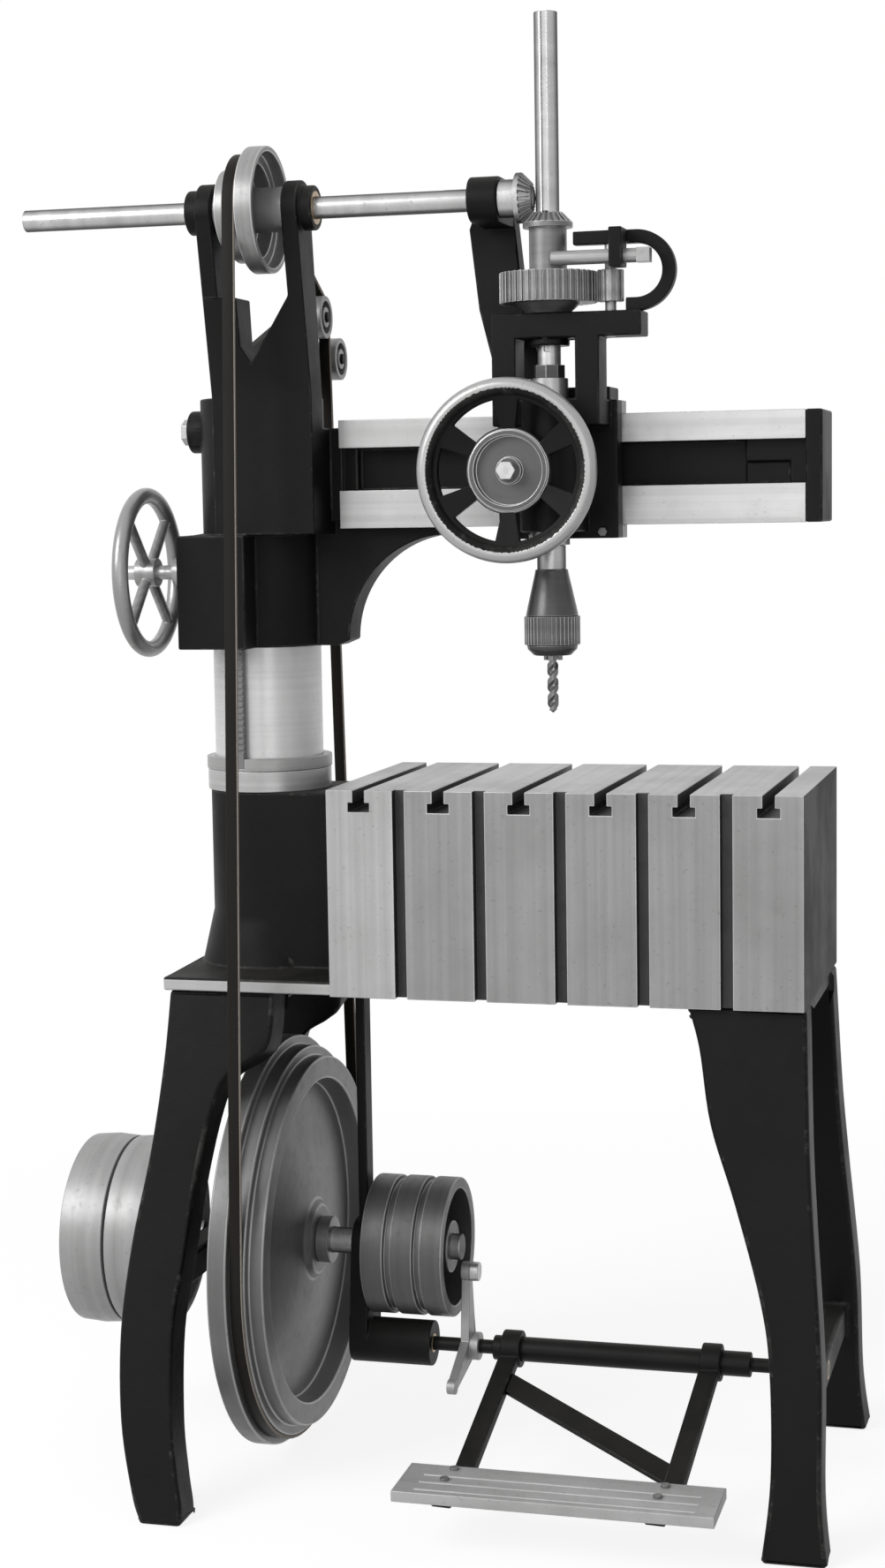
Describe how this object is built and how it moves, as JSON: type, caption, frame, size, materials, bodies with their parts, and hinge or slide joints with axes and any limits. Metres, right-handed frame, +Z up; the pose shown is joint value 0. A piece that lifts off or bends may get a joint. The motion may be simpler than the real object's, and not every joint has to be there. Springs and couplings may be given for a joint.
{
  "type": "radial arm drill",
  "caption": "Belt-driven radial arm drill: leg frames, slotted box table, round column, swinging arm with sliding spindle head, stepped cone drive and foot treadle.",
  "frame": {"origin": "on the floor, midway between the left and right feet and between the front and rear feet", "axes": "+Z up, +X along the arm away from the column, -Y towards the operator at the front"},
  "size_m": [0.924, 0.5726, 1.618],
  "materials": {
    "japan": "glossy black japan",
    "machined_iron": "machined satin",
    "bright_steel": "turned bright",
    "dark_steel": "oiled dark",
    "bronze": "turned",
    "leather": "oiled dark"
  },
  "bodies": {
    "stand": {"left_legs": "japan", "right_legs": "japan", "column_base": "japan", "base_rim": "machined_iron", "box_table": "machined_iron", "stand_bolts": "dark_steel", "column_post": "bright_steel", "shaft_hanger": "japan", "shaft_bushes": "bronze", "drive_belt": "leather"},
    "drive": {"drive_shaft": "bright_steel", "fast_pulley": "machined_iron", "cone_wheel": "machined_iron", "clutch_drum": "machined_iron", "set_collars": "dark_steel"},
    "loose": {"loose_pulley": "machined_iron"},
    "treadle": {"rocking_bar": "japan", "treadle_struts": "japan", "treadle_brace": "japan", "tread_plate": "machined_iron", "clutch_lever": "machined_iron", "lever_knob": "bright_steel", "tread_bolts": "dark_steel"},
    "swing": {"swing_ring": "machined_iron", "elevating_rack": "dark_steel"},
    "arm": {"arm_sleeve": "japan", "radial_arm": "japan", "upper_way": "machined_iron", "lower_way": "machined_iron", "sleeve_screws": "dark_steel", "fork_bushes": "bronze", "idler_bracket": "japan"},
    "cone": {"top_cone": "machined_iron"},
    "idler_front": {"front_idler": "machined_iron"},
    "idler_back": {"back_idler": "machined_iron"},
    "elevating": {"elevating_shaft": "bright_steel", "elevating_pinion": "dark_steel", "elevating_wheel": "machined_iron"},
    "head": {"head_casting": "japan", "keeper_strips": "machined_iron", "head_screws": "dark_steel", "loop_bracket": "japan", "stop_rod": "bright_steel"},
    "cross": {"cross_shaft": "bright_steel", "bevel_pinion": "machined_iron"},
    "gear": {"bevel_gear": "machined_iron", "disc_gear": "machined_iron"},
    "side": {"side_pinion": "machined_iron"},
    "quill": {"quill": "bright_steel", "quill_nut": "dark_steel"},
    "spindle": {"spindle": "bright_steel", "chuck_body": "dark_steel", "chuck_collar": "dark_steel", "chuck_jaws": "dark_steel", "twist_drill": "dark_steel"},
    "feed": {"feed_shaft": "bright_steel", "feed_wheel": "machined_iron", "feed_nut": "bright_steel"}
  },
  "joints": [
    {"name": "arm_swing", "type": "hinge", "parent": "stand", "child": "swing", "pos_m": [-0.288, 0, 0.817], "axis": [0, 0, 1], "range_deg": [-35, 35], "deforming": ["drive_belt"]},
    {"name": "arm_lift", "type": "slide", "parent": "swing", "child": "arm", "axis": [0, 0, 1], "range_m": [-0.0145, 0.16], "deforming": ["drive_belt"]},
    {"name": "elevating_turn", "type": "hinge", "parent": "arm", "child": "elevating", "pos_m": [-0.302, -0.0855, 1.036], "axis": [1, 0, 0], "range_deg": [-687, 64]},
    {"name": "head_traverse", "type": "slide", "parent": "arm", "child": "head", "axis": [1, 0, 0], "range_m": [-0.14, 0.18]},
    {"name": "drive_spin", "type": "hinge", "parent": "stand", "child": "drive", "pos_m": [-0.264, 0, 0.252], "axis": [1, 0, 0], "continuous": true},
    {"name": "loose_spin", "type": "hinge", "parent": "stand", "child": "loose", "pos_m": [-0.497, 0, 0.252], "axis": [1, 0, 0], "continuous": true},
    {"name": "treadle_press", "type": "hinge", "parent": "stand", "child": "treadle", "pos_m": [0.1, -0.02, 0.142], "axis": [1, 0, 0], "range_deg": [0, 8], "stiffness_Nm_per_rad": 50, "springref_deg": -20.05},
    {"name": "cone_spin", "type": "hinge", "parent": "arm", "child": "cone", "pos_m": [-0.264, -0.11, 1.428], "axis": [1, 0, 0], "continuous": true},
    {"name": "front_idler_spin", "type": "hinge", "parent": "arm", "child": "idler_front", "pos_m": [-0.264, 0.14, 1.33], "axis": [1, 0, 0], "continuous": true},
    {"name": "back_idler_spin", "type": "hinge", "parent": "arm", "child": "idler_back", "pos_m": [-0.264, 0.19731, 1.284], "axis": [1, 0, 0], "continuous": true},
    {"name": "cross_spin", "type": "hinge", "parent": "head", "child": "cross", "pos_m": [-0.25, -0.11, 1.428], "axis": [1, 0, 0], "continuous": true},
    {"name": "gear_spin", "type": "hinge", "parent": "head", "child": "gear", "pos_m": [0.072, -0.11, 1.35], "axis": [0, 0, 1], "continuous": true},
    {"name": "side_spin", "type": "hinge", "parent": "head", "child": "side", "pos_m": [0.139, -0.11, 1.328], "axis": [0, 0, 1], "continuous": true},
    {"name": "feed_slide", "type": "slide", "parent": "head", "child": "quill", "axis": [0, 0, 1], "range_m": [-0.06, 0]},
    {"name": "spindle_spin", "type": "hinge", "parent": "quill", "child": "spindle", "pos_m": [0.072, -0.11, 1.2], "axis": [0, 0, 1], "continuous": true},
    {"name": "feed_turn", "type": "hinge", "parent": "head", "child": "feed", "pos_m": [0.039, -0.176, 1.141], "axis": [0, 1, 0], "range_deg": [-1, 373]}
  ],
  "couplings": [
    {"joint": "elevating_turn", "follows": "arm_lift", "rad_per_m": -74.8},
    {"joint": "feed_turn", "follows": "feed_slide", "rad_per_m": -108.11},
    {"joint": "cone_spin", "follows": "drive_spin", "ratio": 4.0357},
    {"joint": "front_idler_spin", "follows": "drive_spin", "ratio": 9.04},
    {"joint": "back_idler_spin", "follows": "drive_spin", "ratio": -9.04},
    {"joint": "cross_spin", "follows": "drive_spin", "ratio": 4.0357},
    {"joint": "gear_spin", "follows": "drive_spin", "ratio": -4.0357},
    {"joint": "side_spin", "follows": "drive_spin", "ratio": 14.675},
    {"joint": "spindle_spin", "follows": "drive_spin", "ratio": -4.0357}
  ]
}
